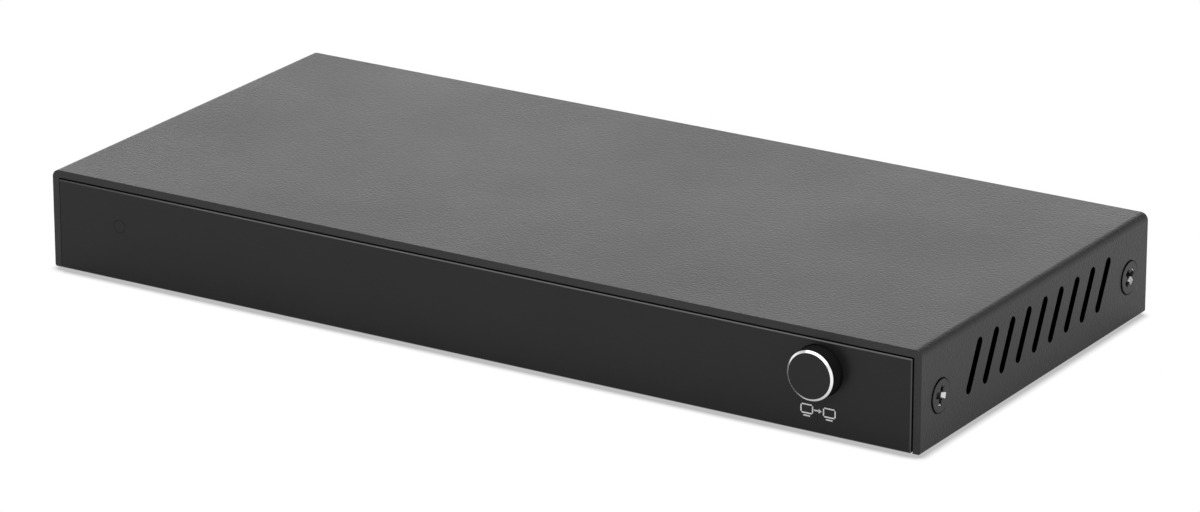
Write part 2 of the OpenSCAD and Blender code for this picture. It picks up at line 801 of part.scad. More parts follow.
module button_cap() {
    color(panel_colour) translate([button_x, 0, button_z]) rotate([-90, 0, 0]) rotate_extrude() polygon([
        [0, button_face_y],
        [button_d / 2 - button_chamfer, button_face_y],
        [button_d / 2, button_face_y + button_chamfer_h],
        [button_d / 2, button_flange_y0],
        [button_flange_r, button_flange_y0],
        [button_flange_r, button_back_y],
        [stem_d / 2 + stem_gap, button_back_y],
        [stem_d / 2 + stem_gap, button_back_y - stem_socket_l],
        [0, button_back_y - stem_socket_l]
    ]);
}

module switch_stem() {
    color([0.85, 0.84, 0.8]) translate([button_x, 0, button_z]) {
        bar(stem_d, button_back_y - stem_socket_l, stem_foot_y0 + stem_foot_t);
        bar(stem_foot_d, stem_foot_y0, stem_foot_y0 + stem_foot_t);
    }
}

module switch_body() {
    color(black_colour) difference() {
        block([button_x - switch_side / 2, switch_y0, board_z1],
              [button_x + switch_side / 2, switch_y0 + switch_t, switch_top_z]);
        translate([button_x, 0, button_z]) {
            bar(stem_d + 2 * stem_gap, switch_y0 - over, switch_y0 + switch_wall + over);
            bar(cavity_d, switch_y0 + switch_wall, cavity_y1);
        }
    }
}

// Snap dome: a thin spherical cap that bows towards the stem
module switch_dome() {
    rim_r = dome_d / 2;
    dome_r = (rim_r * rim_r + dome_rise * dome_rise) / (2 * dome_rise);
    color(steel_colour) translate([button_x, dome_y0, button_z]) rotate([-90, 0, 0]) rotate_extrude()
        intersection() {
            translate([0, dome_r]) difference() {
                circle(dome_r, $fn = 180);
                circle(dome_r - dome_t, $fn = 180);
            }
            square([rim_r, dome_rise]);
        }
}

module switch_bracket() {
    color(steel_colour) {
        for (side = [-1, 1])
            block([bracket_x(side) - bracket_t / 2, switch_y0, board_z1],
                  [bracket_x(side) + bracket_t / 2, switch_y0 + switch_t + bracket_t, button_z]);
        for (side = [-1, 1])
            block([bracket_x(side) - bracket_t / 2, bracket_leg_y - bracket_leg_w / 2, board_z0 - leg_tip],
                  [bracket_x(side) + bracket_t / 2, bracket_leg_y + bracket_leg_w / 2, board_z1 + over]);
        block([bracket_x(-1) - bracket_t / 2, switch_y0 + switch_t, board_z1],
              [bracket_x(1) + bracket_t / 2, switch_y0 + switch_t + bracket_t, button_z]);
    }
}

module status_window() {
    color([0.1, 0.1, 0.11]) translate([led_x, 0, led_z]) bar(window_d, panel_y0, panel_y1);
}

module status_led() {
    tip_r = led_d / 2;
    color([0.75, 0.85, 0.9]) {
        translate([led_x, 0, led_z]) {
            bar(led_d, led_tip_y + tip_r, led_back_y);
            translate([0, led_tip_y + tip_r, 0]) sphere(tip_r);
        }
        for (side = [-1, 1]) {
            lead_x = led_x + side * led_lead_pitch / 2;
            block([lead_x - led_lead / 2, led_back_y, led_z - led_lead],
                  [lead_x + led_lead / 2, led_back_y + 2 * led_lead, led_z]);
            block([lead_x - led_lead / 2, led_back_y + led_lead, board_z1],
                  [lead_x + led_lead / 2, led_back_y + 2 * led_lead, led_z]);
        }
    }
}

module led_holder() {
    color(black_colour) difference() {
        block([led_x - holder_w / 2, holder_y0, board_z1],
              [led_x + holder_w / 2, holder_y0 + holder_l, led_z + led_d / 2 + holder_roof]);
        translate([led_x, 0, led_z])
            bar(led_d + 2 * led_gap, holder_y0 - over, holder_y0 + holder_l + over);
    }
}

// Flat package on the board, centred on a point
module package(x, y, size) {
    translate([x - size[0] / 2, y - size[1] / 2, board_z1]) cube(size);
}

module splitter_chip() {
    color(black_colour) package(chip_x, chip_y, [chip_side, chip_side, chip_t]);
}

module thermal_pad() {
    color([0.55, 0.6, 0.7]) translate([0, 0, chip_t])
        package(chip_x, chip_y, [chip_side, chip_side, pad_t]);
}

module heat_sink() {
    fin_pitch = (sink_side - fin_t) / (fin_count - 1);
    low_x = chip_x - sink_side / 2;
    color([0.62, 0.63, 0.65]) {
        block([low_x, chip_y - sink_side / 2, sink_z0],
              [low_x + sink_side, chip_y + sink_side / 2, sink_z0 + sink_base_t]);
        for (i = [0 : fin_count - 1])
            block([low_x + i * fin_pitch, chip_y - sink_side / 2, sink_z0],
                  [low_x + i * fin_pitch + fin_t, chip_y + sink_side / 2, sink_z1]);
    }
}

module scaler_chips() {
    color(black_colour) for (i = [1 : len(SOCKETS) - 1])
        package(socket_x(i), scaler_y, [scaler_side, scaler_side, chip_t]);
}

module controller_chip() {
    color(black_colour) package(controller_x, controller_y, [controller_side, controller_side, chip_t]);
}

module crystal() {
    color(steel_colour) package(crystal_x, controller_y, crystal_size);
}

module voltage_regulator() {
    color(black_colour) package(power_x, regulator_y, regulator_size);
}

module power_inductors() {
    color([0.25, 0.25, 0.27]) for (setback = inductor_setbacks)
        package(power_x, board_y0 + setback, [inductor_side, inductor_side, inductor_h]);
}

module bulk_capacitors() {
    color([0.7, 0.71, 0.74]) for (setback = capacitor_setbacks) {
        y = socket_y0 - setback;
        package(power_x, y, [capacitor_base_w, capacitor_base_w, capacitor_base_h]);
        translate([power_x, y, board_z1]) cylinder(d = capacitor_d, h = capacitor_h);
    }
}

module protection_arrays() {
    color(black_colour) for (i = [0 : len(SOCKETS) - 1], side = [-1, 1])
        package(socket_x(i) + side * array_spread, array_y, array_size);
}

module bypass_capacitors() {
    color([0.66, 0.56, 0.42]) for (side = [-1, 1], k = [0 : bypass_count - 1])
        package(chip_x + side * bypass_x, chip_y + (k - (bypass_count - 1) / 2) * bypass_pitch,
                bypass_size);
}

cover();
base_tray();
front_panel();
panel_tape();
cover_screws();
rubber_feet();
insulating_film();
circuit_board();
board_standoffs();
board_screws();
for (i = [0 : len(SOCKETS) - 1]) {
    socket_shell(i);
    socket_tongue(i);
    socket_contacts(i);
}
power_jack_housing();
power_jack_pin();
power_jack_spring();
button_cap();
switch_stem();
switch_body();
switch_dome();
switch_bracket();
status_window();
status_led();
led_holder();
splitter_chip();
thermal_pad();
heat_sink();
scaler_chips();
controller_chip();
crystal();
voltage_regulator();
power_inductors();
bulk_capacitors();
protection_arrays();
bypass_capacitors();
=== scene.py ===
import json
import math

import bmesh
import bpy
from mathutils import Matrix, Vector


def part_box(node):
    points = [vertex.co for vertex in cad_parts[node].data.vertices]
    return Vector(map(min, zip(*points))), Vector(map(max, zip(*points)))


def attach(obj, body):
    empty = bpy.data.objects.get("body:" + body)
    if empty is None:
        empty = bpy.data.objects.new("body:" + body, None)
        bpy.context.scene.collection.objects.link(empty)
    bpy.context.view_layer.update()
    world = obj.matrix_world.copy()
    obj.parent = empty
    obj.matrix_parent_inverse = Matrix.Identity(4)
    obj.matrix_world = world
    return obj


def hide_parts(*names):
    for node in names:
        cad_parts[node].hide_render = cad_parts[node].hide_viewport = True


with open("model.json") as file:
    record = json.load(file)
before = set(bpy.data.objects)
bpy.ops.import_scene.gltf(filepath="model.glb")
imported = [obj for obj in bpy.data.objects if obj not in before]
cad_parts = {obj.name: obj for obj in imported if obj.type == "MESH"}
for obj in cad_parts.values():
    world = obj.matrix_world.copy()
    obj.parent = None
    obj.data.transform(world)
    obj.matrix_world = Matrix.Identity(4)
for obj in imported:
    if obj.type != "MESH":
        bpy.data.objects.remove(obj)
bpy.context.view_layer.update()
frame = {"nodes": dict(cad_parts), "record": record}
nodes = frame["nodes"]
scene = bpy.context.scene
mm = 0.001
print("frame loaded:", len(nodes), "nodes")


# camera, light and floor

viewSetup = {
    "azimuth": 31.833,  # degrees from the front towards the right side
    "elevation": 19.512,
    "distance": 914.5 * mm,
    "target": Vector((0.985, 1.392, 5.886)) * mm,
    "lens": 180.44,
}
lightSetup = {
    "matt": 0.55,  # strength of the dome on rough surfaces
    "frontZenith": 0.6,  # what is mirrored from high up, against white at the horizon
    "rearZenith": 0.17,
    "zenithTurn": (-0.2, 0.3),  # where the front's zenith ends and the rear's begins
    "whiteUpTo": 10,  # degrees above the horizon
    "greyFrom": 32,
    "boxes": {
        "keyBox": {"azimuth": 0, "elevation": 55, "distance": 1.1,
                   "size": (1.6, 1.2), "radiance": 1.3},
        "backCard": {"azimuth": 206, "elevation": 16, "distance": 1.5,
                     "size": (1.4, 0.66), "radiance": 1.29},
    },
}
floorSetup = {
    "half": 6.0,
    "below": 0.02 * mm,
    "colour": 0.9,
    "shadowReach": 1.5 * mm,
    "mirroredReach": 26 * mm,  # the wider shade that the sides mirror
    "shadowTone": 0.5,
    "openness": (0.5, 0.97),  # from the foot of a wall to open floor
    "samples": 16,
}


def put(tree, kind, inputs=None, **settings):
    made = tree.nodes.new("ShaderNode" + kind)
    for name, value in settings.items():
        setattr(made, name, value)
    for name, value in (inputs or {}).items():
        if isinstance(value, bpy.types.NodeSocket):
            tree.links.new(value, made.inputs[name])
        else:
            made.inputs[name].default_value = value
    return made


def calc(tree, operation, first, second=0.0):
    return put(tree, "Math", {0: first, 1: second}, operation=operation).outputs[0]


def remap(tree, value, fromLow, fromHigh, toLow=0, toHigh=1):
    limits = {
        "Value": value,
        "From Min": fromLow, "From Max": fromHigh,
        "To Min": toLow, "To Max": toHigh,
    }
    return put(tree, "MapRange", limits).outputs[0]


def blend(tree, factor, first, second):
    return put(tree, "Mix", {0: factor, 2: first, 3: second}).outputs[0]


def blendColour(tree, factor, first, second):
    return put(tree, "Mix", {0: factor, 6: first, 7: second}, data_type="RGBA").outputs[2]


def average(tree, first, second):
    return calc(tree, "MULTIPLY", calc(tree, "ADD", first, second), 0.5)


def coordinates(tree, kind):
    return put(tree, "SeparateXYZ", {0: put(tree, "TexCoord").outputs[kind]}).outputs


def grey(level):
    return (level, level, level, 1)


def towards(azimuth, elevation):
    turn, rise = math.radians(azimuth), math.radians(elevation)
    level = math.cos(rise)
    return Vector((math.sin(turn) * level, -math.cos(turn) * level, math.sin(rise)))


def aim(thing, place, target):
    scene.collection.objects.link(thing)
    thing.location = place
    thing.rotation_euler = (target - place).to_track_quat("-Z", "Y").to_euler()


def placeCamera(setup):
    data = bpy.data.cameras.new("camera")
    data.lens = setup["lens"]
    camera = bpy.data.objects.new("camera", data)
    away = towards(setup["azimuth"], setup["elevation"]) * setup["distance"]
    aim(camera, setup["target"] + away, setup["target"])
    scene.camera = camera


def seenRay(tree):
    path = put(tree, "LightPath").outputs
    mirrored = calc(tree, "MAXIMUM", path["Is Glossy Ray"], path["Is Transmission Ray"])
    return calc(tree, "MAXIMUM", path["Is Camera Ray"], mirrored)


def addSoftbox(name, box):
    lamp = bpy.data.lights.new(name, "AREA")
    lamp.shape = "RECTANGLE"
    lamp.size, lamp.size_y = box["size"]
    lamp.energy = box["radiance"] * math.pi * lamp.size * lamp.size_y
    softbox = bpy.data.objects.new(name, lamp)
    aim(softbox, towards(box["azimuth"], box["elevation"]) * box["distance"], Vector())
    softbox.visible_camera = False


def lightScene(setup):
    world = bpy.data.worlds.new("whiteTent")
    world.use_nodes = True
    tree = world.node_tree
    tree.nodes.clear()
    direction = coordinates(tree, "Generated")
    low = math.sin(math.radians(setup["whiteUpTo"]))
    high = math.sin(math.radians(setup["greyFrom"]))
    greys = (setup["frontZenith"], setup["rearZenith"])
    zenith = remap(tree, direction["Y"], *setup["zenithTurn"], *greys)
    dome = blend(tree, remap(tree, direction["Z"], low, high), 1.0, zenith)
    seen = calc(tree, "MAXIMUM", dome, put(tree, "LightPath").outputs["Is Camera Ray"])
    strength = blend(tree, seenRay(tree), setup["matt"], seen)
    tent = put(tree, "Background", {"Color": grey(1), "Strength": strength})
    put(tree, "OutputWorld", {"Surface": tent.outputs[0]})
    scene.world = world
    for name, box in setup["boxes"].items():
        addSoftbox(name, box)


def layFloor(setup):
    half = setup["half"]
    mesh = bpy.data.meshes.new("floor")
    corners = [(-half, -half), (half, -half), (half, half), (-half, half)]
    mesh.from_pydata([(x, y, -setup["below"]) for x, y in corners], [], [(0, 1, 2, 3)])
    floor = bpy.data.objects.new("floor", mesh)
    scene.collection.objects.link(floor)
    material = bpy.data.materials.new("paperFloor")
    material.use_nodes = True
    tree = material.node_tree
    tree.nodes.clear()
    paper = put(tree, "BsdfDiffuse", {"Color": grey(setup["colour"])})
    direct = put(tree, "LightPath").outputs["Is Camera Ray"]
    reach = blend(tree, direct, setup["mirroredReach"], setup["shadowReach"])
    near = put(tree, "AmbientOcclusion", {"Distance": reach}, samples=setup["samples"])
    tone = remap(tree, near.outputs["AO"], *setup["openness"], setup["shadowTone"], 1)
    shade = blendColour(tree, tone, grey(0), grey(1))
    white = put(tree, "Emission", {"Color": shade, "Strength": 1.0})
    mixed = put(tree, "MixShader", {0: seenRay(tree), 1: paper.outputs[0], 2: white.outputs[0]})
    put(tree, "OutputMaterial", {"Surface": mixed.outputs[0]})
    mesh.materials.append(material)


scene.view_settings.view_transform = "Standard"
placeCamera(viewSetup)
lightScene(lightSetup)
layFloor(floorSetup)
print("camera, light and floor set")


# shared effects as node groups

grainSetup = {
    "fine": (1.0, 2.0, 0.5),  # scale, detail and roughness of a noise
    "broad": (0.011, 3.0, 0.6),
    "lumps": 0.8,
    "fleck": (0.35, 0.75),  # the part of a noise that is spread over 0 to 1
    "tone": (0.3, 0.7),
}
edgeSamples = 6
streakSetup = {
    "lines": (1.0, 3.0, 0.6),
    "streak": (0.3, 0.7),
}


def newGroup(name, inputs, outputs):
    group = bpy.data.node_groups.new(name, "ShaderNodeTree")
    for label in inputs:
        group.interface.new_socket(label, in_out="INPUT", socket_type="NodeSocketFloat")
    for label, kind in outputs.items():
        group.interface.new_socket(label, in_out="OUTPUT", socket_type="NodeSocket" + kind)
    given = group.nodes.new("NodeGroupInput").outputs
    wanted = group.nodes.new("NodeGroupOutput").inputs
    return group, given, wanted


def scaledPlace(tree, size):
    place = put(tree, "TexCoord").outputs["Object"]
    count = calc(tree, "DIVIDE", 1.0, size)
    return put(tree, "VectorMath", {0: place, "Scale": count}, operation="SCALE").outputs[0]


def noise(tree, place, scale, detail, roughness):
    inputs = {"Vector": place, "Scale": scale, "Detail": detail, "Roughness": roughness}
    return put(tree, "TexNoise", inputs).outputs[0]


def makeGrain(setup):
    outputs = {"Height": "Float", "Fleck": "Float", "Tone": "Float"}
    group, given, wanted = newGroup("surfaceGrain", ["Size"], outputs)
    place = scaledPlace(group, given["Size"])
    lumps = {"Vector": place, "Scale": setup["lumps"]}
    distance = put(group, "TexVoronoi", lumps, feature="SMOOTH_F1").outputs["Distance"]
    raised = calc(group, "SUBTRACT", 1.0, distance)
    both = average(group, noise(group, place, *setup["fine"]), raised)
    broad = noise(group, place, *setup["broad"])
    group.links.new(both, wanted["Height"])
    group.links.new(remap(group, both, *setup["fleck"]), wanted["Fleck"])
    group.links.new(remap(group, broad, *setup["tone"]), wanted["Tone"])
    return group


def makeSoftEdge(samples):
    group, given, wanted = newGroup("softEdge", ["Radius"], {"Normal": "Vector"})
    rounded = put(group, "Bevel", {"Radius": given["Radius"]}, samples=samples)
    group.links.new(rounded.outputs[0], wanted["Normal"])
    return group


def makeStreaks(setup):
    inputs = ["Across", "Along", "AlongDepth"]
    outputs = {"Streak": "Float", "Height": "Float"}
    group, given, wanted = newGroup("drawnStreaks", inputs, outputs)
    place = coordinates(group, "Object")
    across = calc(group, "DIVIDE", 1.0, given["Across"])
    along = calc(group, "DIVIDE", 1.0, given["Along"])
    counts = {"X": across, "Y": blend(group, given["AlongDepth"], across, along), "Z": across}
    scaled = {axis: calc(group, "MULTIPLY", place[axis], counts[axis]) for axis in counts}
    lines = noise(group, put(group, "CombineXYZ", scaled).outputs[0], *setup["lines"])
    group.links.new(remap(group, lines, *setup["streak"]), wanted["Streak"])
    group.links.new(lines, wanted["Height"])
    return group


grainGroup = makeGrain(grainSetup)
edgeGroup = makeSoftEdge(edgeSamples)
streakGroup = makeStreaks(streakSetup)
print("shared effects ready")


# finishes

def useGroup(tree, group, **values):
    return put(tree, "Group", values, node_tree=group).outputs


def newLook(name):
    material = bpy.data.materials.new(name)
    material.use_nodes = True
    tree = material.node_tree
    tree.nodes.clear()
    shader = put(tree, "BsdfPrincipled")
    put(tree, "OutputMaterial", {"Surface": shader.outputs[0]})
    return material, tree, shader


def link(tree, source, shader, name):
    tree.links.new(source, shader.inputs[name])


def dress(tree, shader, look, mixed, height):
    dark, light = look["colours"]
    edge = useGroup(tree, edgeGroup, Radius=look["edge"])
    relief = {"Distance": look["depth"], "Height": height, "Normal": edge["Normal"]}
    link(tree, blendColour(tree, mixed, (*dark, 1), (*light, 1)), shader, "Base Color")
    link(tree, remap(tree, mixed, 0, 1, *look["roughness"]), shader, "Roughness")
    link(tree, put(tree, "Bump", relief).outputs[0], shader, "Normal")


def makeLook(name, look):
    material, tree, shader = newLook(name)
    grain = useGroup(tree, grainGroup, Size=look["grain"])
    dress(tree, shader, look, average(tree, grain["Fleck"], grain["Tone"]), grain["Height"])
    shader.inputs["IOR"].default_value = look.get("ior", plainIor)
    return material, tree, shader


def makeMetal(name, look):
    material, tree, shader = newLook(name)
    streaks = useGroup(tree, streakGroup, **look["streaks"])
    grain = useGroup(tree, grainGroup, Size=look["grain"])
    mixed = average(tree, streaks["Streak"], grain["Tone"])
    dress(tree, shader, look, mixed, streaks["Height"])
    shader.inputs["Metallic"].default_value = 1.0
    return material


plainIor = 1.45  # of the looks that name none
coatLook = {
    "colours": ((0.017, 0.017, 0.0175), (0.027, 0.027, 0.028)),
    "roughness": (0.34, 0.44),
    "grain": 0.27 * mm,
    "depth": 0.075 * mm,
    "edge": 0.07 * mm,
    "ior": 1.345,
    "slotShadeColour": 0.004,  # painted shade: near-black colour for the walls of the punched slots
    "cutInside": 1.25 * mm,
    "cutMargin": 2.5 * mm,
    "cutTurn": 0.2,  # how far a slot's wall may face sideways
}
panelLook = {
    "colours": ((0.0070, 0.0070, 0.0073), (0.0100, 0.0100, 0.0103)),
    "roughness": (0.30, 0.38),
    "grain": 0.12 * mm,
    "depth": 0.0015 * mm,
    "edge": 0.03 * mm,
    "ior": 1.34,
    "chamferIor": 1.55,
    "chamferRoughness": 0.1,
    "chamferTurn": (0.97, 0.85),  # from straight to turned
}
buttonLook = {
    "colours": ((0.0070, 0.0070, 0.0075), (0.0100, 0.0100, 0.0105)),
    "roughness": (0.40, 0.48),
    "grain": 0.10 * mm,
    "depth": 0.003 * mm,
    "edge": 0.03 * mm,
    "ior": 1.34,
}
smallLooks = {
    "black_screw": {"colours": ((0.012, 0.012, 0.012), (0.024, 0.024, 0.025)),
                    "roughness": (0.36, 0.48),
                    "grain": 0.2 * mm, "depth": 0.012 * mm, "edge": 0.05 * mm, "ior": 1.38},
    "rubber": {"colours": ((0.016, 0.016, 0.016), (0.026, 0.026, 0.026)), "roughness": (0.75, 0.9),
               "grain": 0.2 * mm, "depth": 0.02 * mm, "edge": 0.1 * mm},
    "tape": {"colours": ((0.60, 0.60, 0.57), (0.72, 0.72, 0.69)), "roughness": (0.8, 0.95),
             "grain": 0.25 * mm, "depth": 0.03 * mm, "edge": 0.02 * mm},
    "film": {"colours": ((0.70, 0.70, 0.62), (0.78, 0.78, 0.72)), "roughness": (0.22, 0.34),
             "grain": 0.5 * mm, "depth": 0.004 * mm, "edge": 0.02 * mm},
    "insulator": {"colours": ((0.014, 0.014, 0.0145), (0.024, 0.024, 0.0245)),
                  "roughness": (0.42, 0.55),
                  "grain": 0.12 * mm, "depth": 0.006 * mm, "edge": 0.06 * mm},
    "stem": {"colours": ((0.60, 0.58, 0.51), (0.68, 0.66, 0.59)), "roughness": (0.4, 0.5),
             "grain": 0.12 * mm, "depth": 0.004 * mm, "edge": 0.05 * mm},
    "window": {"colours": ((0.0072, 0.0072, 0.0078), (0.0104, 0.0104, 0.0110)),
               "roughness": (0.28, 0.36),
               "grain": 0.2 * mm, "depth": 0.001 * mm, "edge": 0.02 * mm, "ior": 1.34},
    "ink": {"colours": ((0.58, 0.58, 0.58), (0.72, 0.72, 0.72)), "roughness": (0.5, 0.62),
            "grain": 0.1 * mm, "depth": 0.002 * mm, "edge": 0.005 * mm},
    "lamp": {"colours": ((0.62, 0.70, 0.76), (0.70, 0.78, 0.84)), "roughness": (0.08, 0.16),
             "grain": 0.4 * mm, "depth": 0.001 * mm, "edge": 0.02 * mm},
    "chip": {"colours": ((0.018, 0.018, 0.018), (0.030, 0.030, 0.030)), "roughness": (0.5, 0.62),
             "grain": 0.08 * mm, "depth": 0.006 * mm, "edge": 0.05 * mm},
    "pad": {"colours": ((0.22, 0.26, 0.36), (0.27, 0.31, 0.42)), "roughness": (0.65, 0.8),
            "grain": 0.3 * mm, "depth": 0.02 * mm, "edge": 0.05 * mm},
    "ferrite": {"colours": ((0.045, 0.045, 0.048), (0.070, 0.070, 0.074)), "roughness": (0.55, 0.7),
                "grain": 0.15 * mm, "depth": 0.012 * mm, "edge": 0.15 * mm},
    "ceramic": {"colours": ((0.36, 0.25, 0.14), (0.44, 0.32, 0.19)), "roughness": (0.35, 0.5),
                "grain": 0.1 * mm, "depth": 0.003 * mm, "edge": 0.04 * mm},
}
metalLooks = {
    "brass": {"colours": ((0.55, 0.40, 0.16), (0.70, 0.53, 0.24)), "roughness": (0.22, 0.36),
              "streaks": {"Across": 0.06 * mm, "Along": 0.8 * mm, "AlongDepth": 0.0},
              "grain": 0.3 * mm, "depth": 0.002 * mm, "edge": 0.05 * mm},
    "zinc_steel": {"colours": ((0.46, 0.47, 0.49), (0.62, 0.63, 0.66)), "roughness": (0.26, 0.42),
                   "streaks": {"Across": 0.08 * mm, "Along": 0.8 * mm, "AlongDepth": 0.0},
                   "grain": 0.25 * mm, "depth": 0.002 * mm, "edge": 0.05 * mm},
    "shell_steel": {"colours": ((0.50, 0.50, 0.51), (0.68, 0.68, 0.69)), "roughness": (0.20, 0.34),
                    "streaks": {"Across": 0.05 * mm, "Along": 3.0 * mm, "AlongDepth": 1.0},
                    "grain": 0.3 * mm, "depth": 0.0015 * mm, "edge": 0.05 * mm},
    "gold": {"colours": ((0.72, 0.48, 0.15), (0.85, 0.61, 0.25)), "roughness": (0.18, 0.28),
             "streaks": {"Across": 0.03 * mm, "Along": 1.5 * mm, "AlongDepth": 1.0},
             "grain": 0.2 * mm, "depth": 0.001 * mm, "edge": 0.02 * mm},
    "heat_sink": {"colours": ((0.42, 0.43, 0.45), (0.55, 0.56, 0.58)), "roughness": (0.34, 0.5),
                  "streaks": {"Across": 0.08 * mm, "Along": 8.0 * mm, "AlongDepth": 1.0},
                  "grain": 0.4 * mm, "depth": 0.004 * mm, "edge": 0.08 * mm},
    "can": {"colours": ((0.52, 0.53, 0.55), (0.66, 0.67, 0.69)), "roughness": (0.24, 0.36),
            "streaks": {"Across": 0.06 * mm, "Along": 2.0 * mm, "AlongDepth": 0.0},
            "grain": 0.3 * mm, "depth": 0.002 * mm, "edge": 0.2 * mm},
}
boardLook = {
    "mask": ((0.004, 0.045, 0.018), (0.007, 0.070, 0.030)),
    "roughness": (0.27, 0.40),
    "grain": 0.3 * mm,
    "depth": 0.012 * mm,
    "trace": (0.016, 0.135, 0.055, 1),
    "traceStep": 1.1 * mm,
    "tracePattern": {"Scale": 1.0, "Mortar Size": 0.16, "Mortar Smooth": 0.1,
                     "Brick Width": 9.0, "Row Height": 1.0},
    "traceShift": {"offset": 0.37, "squash": 0.6},
}


# polished chamfers: a clear layer wherever the surface is turned off the case's own directions
def polishChamfers(tree, shader, look):
    turned = coordinates(tree, "Normal")
    along = [calc(tree, "ABSOLUTE", turned[axis]) for axis in "XYZ"]
    straight = calc(tree, "MAXIMUM", calc(tree, "MAXIMUM", along[0], along[1]), along[2])
    link(tree, remap(tree, straight, *look["chamferTurn"]), shader, "Coat Weight")
    shader.inputs["Coat IOR"].default_value = look["chamferIor"]
    shader.inputs["Coat Roughness"].default_value = look["chamferRoughness"]


# walls of the slots in the cover's sides: painted shade, made near-black metal that reflects almost
# nothing, so they look like shaded holes
def paintSlotShade(tree, shader, look):
    low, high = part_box("cover")
    place = coordinates(tree, "Object")
    turned = coordinates(tree, "Normal")
    margin = look["cutMargin"]
    tests = [
        calc(tree, "GREATER_THAN", calc(tree, "ABSOLUTE", place["X"]), high.x - look["cutInside"]),
        calc(tree, "LESS_THAN", calc(tree, "ABSOLUTE", turned["X"]), look["cutTurn"]),
        calc(tree, "GREATER_THAN", place["Y"], low.y + margin),
        calc(tree, "LESS_THAN", place["Y"], high.y - margin),
        calc(tree, "GREATER_THAN", place["Z"], low.z + margin),
        calc(tree, "LESS_THAN", place["Z"], high.z - margin / 2),
    ]
    cut = tests[0]
    for test in tests[1:]:
        cut = calc(tree, "MULTIPLY", cut, test)
    # painted shade: the slot walls get a near-black colour and full metal, which takes away their
    # reflections
    coat = shader.inputs["Base Color"].links[0].from_socket
    link(tree, blendColour(tree, cut, coat, grey(look["slotShadeColour"])), shader, "Base Color")
    link(tree, cut, shader, "Metallic")


def makeCoat(look):
    material, tree, shader = makeLook("coat", look)
    paintSlotShade(tree, shader, look)
    return material


def makePanel(look):
    material, tree, shader = makeLook("panel", look)
    polishChamfers(tree, shader, look)
    return material


def makeBoard(look):
    material, tree, shader = newLook("board")
    grain = useGroup(tree, grainGroup, Size=look["grain"])
    pattern = {"Vector": scaledPlace(tree, look["traceStep"]), **look["tracePattern"]}
    trace = put(tree, "TexBrick", pattern, **look["traceShift"]).outputs["Fac"]
    dark, light = look["mask"]
    mask = blendColour(tree, grain["Tone"], (*dark, 1), (*light, 1))
    relief = put(tree, "Bump", {"Distance": look["depth"], "Height": trace})
    link(tree, blendColour(tree, trace, mask, look["trace"]), shader, "Base Color")
    link(tree, remap(tree, grain["Fleck"], 0, 1, *look["roughness"]), shader, "Roughness")
    link(tree, relief.outputs[0], shader, "Normal")
    return material


looks = {name: makeLook(name, look)[0] for name, look in smallLooks.items()}
looks.update({name: makeMetal(name, look) for name, look in metalLooks.items()})
looks["coat"] = makeCoat(coatLook)
looks["panel"] = makePanel(panelLook)
looks["button"] = makeLook("button", buttonLook)[0]
looks["board"] = makeBoard(boardLook)
for row in frame["record"]["subparts"]:
    nodes[row["node"]].material_slots[0].material = looks[row["material_slot"]]


# pieces

def newPiece(name, build, materials, body, angle=35):
    mesh = bpy.data.meshes.new(name)
    bmesh.ops.recalc_face_normals(build, faces=build.faces)
    build.to_mesh(mesh)
    build.free()
    for polygon in mesh.polygons:
        polygon.use_smooth = True
    mesh.set_sharp_from_angle(angle=math.radians(angle))
    for material in materials:
        mesh.materials.append(material)
    piece = bpy.data.objects.new(name, mesh)
    scene.collection.objects.link(piece)
    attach(piece, body)
    return piece


def roundCorners(points, radius, steps=4, limit=0.45):
    made = [points[0]]
    for before, corner, after in zip(points, points[1:], points[2:]):
        middle = Vector(corner)
        first = Vector(before) - middle
        last = Vector(after) - middle
        opening = first.angle(last)
        cut = min(radius / math.tan(opening / 2), limit * first.length, limit * last.length)
        start = middle + first.normalized() * cut
        end = middle + last.normalized() * cut
        for step in range(steps + 1):
            share = step / steps
            spot = start * (1 - share) ** 2 + middle * 2 * share * (1 - share) + end * share ** 2
            made.append(tuple(spot))
    made.append(points[-1])
    return made


def lathe(build, profile, place, segments, brightRows=()):
    turns = [2 * math.pi * index / segments for index in range(segments)]
    rings = []
    for radius, height in profile:
        ring = []
        for turn in turns if radius else turns[:1]:
            spot = Vector((radius * math.cos(turn), radius * math.sin(turn), height))
            ring.append(build.verts.new(place @ spot))
        rings.append(ring)
    for row, (lower, upper) in enumerate(zip(rings, rings[1:])):
        for index in range(segments):
            following = (index + 1) % segments
            corners = [lower[index % len(lower)], lower[following % len(lower)],
                       upper[following % len(upper)], upper[index % len(upper)]]
            face = build.faces.new(list(dict.fromkeys(corners)))
            face.material_index = 1 if row in brightRows else 0
    return rings


def around(loop):
    return zip(loop, loop[1:] + loop[:1])


def closeLoops(build, first, last):
    faces = []
    for lower, upper in zip(around(first), around(last)):
        faces.append(build.faces.new([*lower, *reversed(upper)]))
    return faces


def facing(direction, place):
    turn = Vector(direction).to_track_quat("Z", "Y").to_matrix().to_4x4()
    return Matrix.Translation(place) @ turn


# bright cut metal of the button's ring and of the screws' recesses
brightLook = {"colours": ((0.88, 0.88, 0.89), (0.97, 0.97, 0.98)), "roughness": (0.10, 0.2),
              "streaks": {"Across": 0.04 * mm, "Along": 0.4 * mm, "AlongDepth": 0.0},
              "grain": 0.2 * mm, "depth": 0.0008 * mm, "edge": 0.02 * mm}
recessLook = {"colours": ((0.40, 0.40, 0.40), (0.96, 0.96, 0.97)), "roughness": (0.14, 0.26),
              "streaks": {"Across": 0.12 * mm, "Along": 0.3 * mm, "AlongDepth": 0.0},
              "grain": 0.15 * mm, "depth": 0.004 * mm, "edge": 0.03 * mm}
brightCut = makeMetal("brightCut", brightLook)
wornRecess = makeMetal("wornRecess", recessLook)

